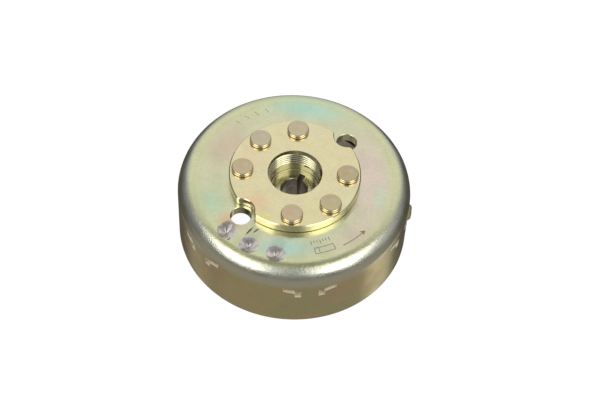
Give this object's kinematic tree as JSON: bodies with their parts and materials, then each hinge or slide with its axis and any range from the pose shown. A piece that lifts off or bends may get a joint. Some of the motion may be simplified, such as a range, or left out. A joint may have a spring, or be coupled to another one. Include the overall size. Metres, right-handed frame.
{
  "type": "magneto flywheel",
  "caption": "Outer-rotor magneto flywheel: pressed steel cup with magnets inside, riveted to a flanged hub with a keyed tapered bore and a threaded counterbore.",
  "frame": {"origin": "centre of the cup's open rim, on the shaft's axis", "axes": "+Z along the shaft's axis from the open rim to the hub's flange; +X towards the trigger lug, which sits about 4 degrees clockwise of it seen from above"},
  "size_m": [0.1155, 0.114, 0.0454],
  "materials": {
    "cup_plating": "yellow zinc chromate plate, satin, iridescent",
    "hub_plating": "yellow zinc chromate plate over a turned face, glossy",
    "rivet_plating": "gold zinc chromate plate, glossy",
    "ferrite": "ground sintered ferrite, matt",
    "spacer_nylon": "moulded glass-filled nylon, matt",
    "sleeve_steel": "drawn stainless steel, satin"
  },
  "bodies": {
    "root": {"rotor_cup": "cup_plating", "hub": "hub_plating", "rivet_1": "rivet_plating", "rivet_2": "rivet_plating", "rivet_3": "rivet_plating", "rivet_4": "rivet_plating", "rivet_5": "rivet_plating", "rivet_6": "rivet_plating", "magnet_1": "ferrite", "magnet_2": "ferrite", "magnet_3": "ferrite", "magnet_4": "ferrite", "magnet_5": "ferrite", "magnet_6": "ferrite", "magnet_spacer_1": "spacer_nylon", "magnet_spacer_2": "spacer_nylon", "magnet_spacer_3": "spacer_nylon", "magnet_spacer_4": "spacer_nylon", "magnet_spacer_5": "spacer_nylon", "magnet_spacer_6": "spacer_nylon", "magnet_sleeve": "sleeve_steel"}
  },
  "joints": []
}
